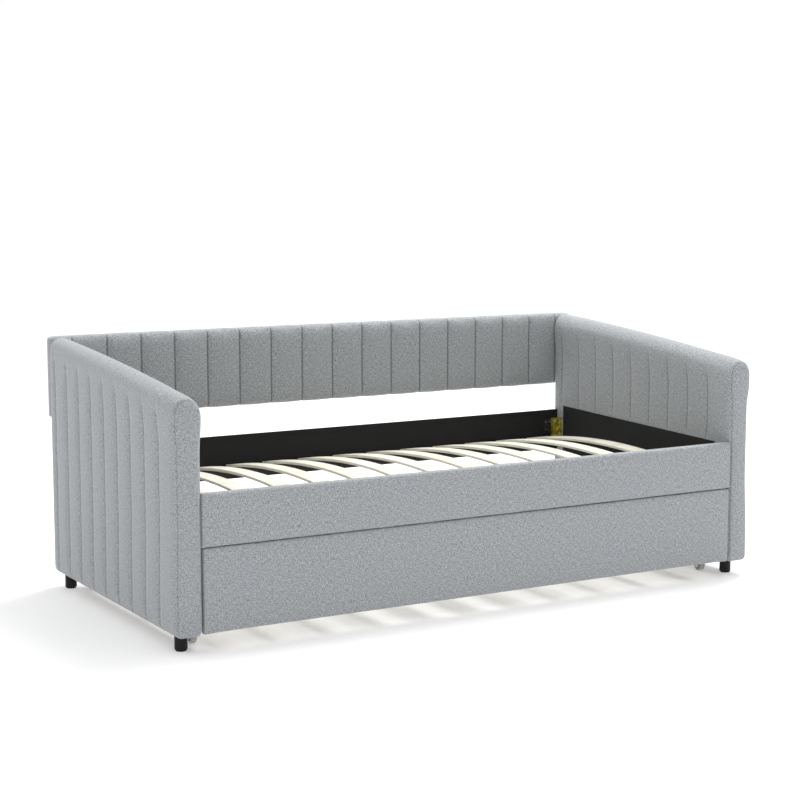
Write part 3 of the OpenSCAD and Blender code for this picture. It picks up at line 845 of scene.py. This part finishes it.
def cloth_panel(name, corners, outward, material):
    """A thin sheet on four corners (low left, low right, high right, high left), top edge hemmed."""
    a, b, c, d = (np.array(p, float) for p in corners)
    across = max(8, round(np.linalg.norm(b - a) / 0.02))
    height = np.linalg.norm(d - a)
    hem = HEM / height
    below_hem = np.linspace(0, 1 - hem, 13)
    v = np.concatenate([below_hem, 1 - hem * np.array([0.9, 0.5, 0.08, 0])])
    u = np.linspace(0, 1, across + 1)
    uu, vv = np.meshgrid(u, v)
    base = (
        (1 - uu)[..., None] * (1 - vv)[..., None] * a
        + uu[..., None] * (1 - vv)[..., None] * b
        + uu[..., None] * vv[..., None] * c
        + (1 - uu)[..., None] * vv[..., None] * d
    )
    length = np.linalg.norm(b - a)
    s, t = uu * length, vv * height
    ripple = np.sin(s * 23 + 3 * t) * np.sin(t * 17 + 1.3) + 0.6 * np.sin(s * 51 - 9 * t)
    slack = np.sin(np.pi * vv) * (0.5 + 0.5 * ripple / 1.6)
    fold = HEM_LIFT * smooth(vv, 1 - hem - 1e-3, 1 - hem * 0.88)
    lift = CLOTH_THICK + SLACK * slack + fold
    out = np.array(outward, float)
    front = base + out * (CLOTH_GAP + lift)[..., None]
    back = base + out * CLOTH_GAP
    rows, cols = uu.shape
    count = rows * cols
    points = np.concatenate([front.reshape(-1, 3), back.reshape(-1, 3)])
    index = np.arange(count).reshape(rows, cols)
    faces = []
    for i in range(rows - 1):
        for j in range(cols - 1):
            quad = (index[i, j], index[i, j + 1], index[i + 1, j + 1], index[i + 1, j])
            faces.append(quad)
            faces.append(tuple(q + count for q in quad[::-1]))
    edge = [*index[0], *index[1:, -1], *index[-1, -2::-1], *index[-2:0:-1, 0]]
    for p, q in zip(edge, edge[1:] + edge[:1]):
        faces.append((p, p + count, q + count, q))
    return new_piece(name, points, faces, material)


def stretched(piece, node_name):
    """Attaches a lining to the trundle or the daybed and hides the CAD lining it stands for."""
    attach(piece, "trundle" if node_name.startswith("trundle") else "daybed")
    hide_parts(node_name)


def make_arm_linings():
    """Black cloth on the inner faces of both arms; its top edge slopes up to the rear."""
    x = LINING_HIGH.x - CLOTH_GAP
    front_top = LINING_HIGH.z - LINING_SLOPE
    for side, label in ((1, "right"), (-1, "left")):
        corners = [
            (side * x, LINING_LOW.y, LINING_LOW.z),
            (side * x, LINING_HIGH.y, LINING_LOW.z),
            (side * x, LINING_HIGH.y, LINING_HIGH.z),
            (side * x, LINING_LOW.y, front_top),
        ]
        cloth = cloth_panel(f"{label}_arm_lining_cloth", corners, (-side, 0, 0), LINING)
        stretched(cloth, f"{label}_arm_lining")


def make_flat_lining(name, node_name, outward_y, material, bottom=None):
    """A cloth on an upright board that runs along x; bottom is the height of its lower edge."""
    low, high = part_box(node_name)
    if bottom is not None:
        low.z = bottom
    y = high.y if outward_y < 0 else low.y
    x0, x1 = low.x + SIDE_IN, high.x - SIDE_IN
    corners = [(x0, y, low.z), (x1, y, low.z), (x1, y, high.z), (x0, y, high.z)]
    cloth = cloth_panel(name, corners, (0, outward_y, 0), material)
    stretched(cloth, node_name)


# ---- studio ----


def make_camera():
    """The photograph's view, from the front left and a little above the bed."""
    data = bpy.data.cameras.new("camera")
    data.sensor_width = 36
    data.lens = 79.25
    in_front = 4.474
    pitch, heading = 7.138, 30.375
    camera = bpy.data.objects.new("camera", data)
    camera.location = (-2.944, CAD_BOX[0].y - in_front, 1.333)
    camera.rotation_euler = (math.radians(90 - pitch), 0, math.radians(-heading))
    bpy.context.scene.collection.objects.link(camera)
    bpy.context.scene.camera = camera


def make_floor():
    """A wide plain floor, almost white and lit a little from within to keep shadows pale."""
    material, tree, principled = new_material(
        "studio_floor",
        Roughness=0.8,
        Specular_IOR_Level=0.1,
        Emission_Color=(1, 1, 1, 1),
        Emission_Strength=0.24,
    )
    stops = [(0.3, (0.77, 0.77, 0.77)), (0.7, (0.79, 0.79, 0.79))]
    tone = ramp(tree, noise(tree, object_place(tree), 3, 2.0), stops)
    tree.links.new(tone, principled.inputs["Base Color"])
    size = 40
    corners = [(-size, -size, 0), (size, -size, 0), (size, size, 0), (-size, size, 0)]
    floor = new_piece("studio_floor", corners, [(0, 1, 2, 3)], material)


def add_area_light(name, place, aim, size, power):
    """A square soft light at place, turned towards aim."""
    data = bpy.data.lights.new(name, "AREA")
    data.size = size
    data.energy = power
    lamp = bpy.data.objects.new(name, data)
    lamp.location = place
    x, y, z = np.array(aim, float) - np.array(place, float)
    lamp.rotation_euler = (math.atan2(math.hypot(x, y), -z), 0, math.atan2(y, x) - math.pi / 2)
    bpy.context.scene.collection.objects.link(lamp)


def make_studio():
    """Bright even surroundings, and one large soft light above, to the right and to the rear."""
    scene = bpy.context.scene
    scene.view_settings.view_transform = "Standard"
    world = bpy.data.worlds.new("studio")
    world.use_nodes = True
    background = world.node_tree.nodes["Background"]
    background.inputs["Color"].default_value = (1, 1, 1, 1)
    background.inputs["Strength"].default_value = 1.02
    scene.world = world
    make_floor()
    add_area_light("key_light", place=(2.0, 1.2, 5.2), aim=(0, 0, 0.4), size=3.0, power=330)


# ---- the whole ----


def finish_padded(piece, body, cover):
    """Attaches a padded piece to its body and hides the CAD cover it stands for."""
    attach(piece, body)
    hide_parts(cover)


def make_arms():
    """Both arms from one simulated cover; the left one's outer side is straighter."""
    right_arm = make_arm()
    left_arm = duplicate(right_arm, "left_arm_upholstery")
    arm_side_bulge(right_arm, ARM_WAIST_RIGHT)
    arm_side_bulge(left_arm, ARM_WAIST_LEFT)
    mirror(left_arm)
    finish_padded(right_arm, "daybed", "right_arm_cover")
    finish_padded(left_arm, "daybed", "left_arm_cover")


def make_rails():
    """The rails' covers and the trundle's front, with a thin dark slot between the front two."""
    front_rail = make_rail("front_rail_upholstery", "front_rail_cover", down=RAIL_HANG)
    trundle_front = make_rail("trundle_front_upholstery", "trundle_front_cover",
                              up=TRUNDLE_RISE, end_gap=-TRUNDLE_PAST)
    rear_rail = make_rail("rear_rail_upholstery", "rear_rail_cover", REAR_RAIL_PUFF)
    finish_padded(front_rail, "daybed", "front_rail_cover")
    finish_padded(trundle_front, "trundle", "trundle_front_cover")
    finish_padded(rear_rail, "daybed", "rear_rail_cover")


def make_linings():
    """The linings of the arms, rails, trundle front and back panel."""
    make_arm_linings()
    make_flat_lining("rear_rail_lining_cloth", "rear_rail_lining", -1, LINING)
    slot_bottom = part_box("trundle_front_cover")[1].z + ABOVE_SLOT
    make_flat_lining("front_rail_lining_cloth", "front_rail_lining", 1, LINING,
                     bottom=slot_bottom)
    make_flat_lining("trundle_front_lining_cloth", "trundle_front_lining", 1, LINING)
    make_flat_lining("back_lining_cloth", "back_lining", 1, BACK_CLOTH)


def build():
    """The camera, the finishes, every soft piece and the studio."""
    make_camera()
    dress_cad_nodes()
    make_arms()
    finish_padded(make_back(), "daybed", "back_cover")
    make_rails()
    make_linings()
    make_studio()


build()
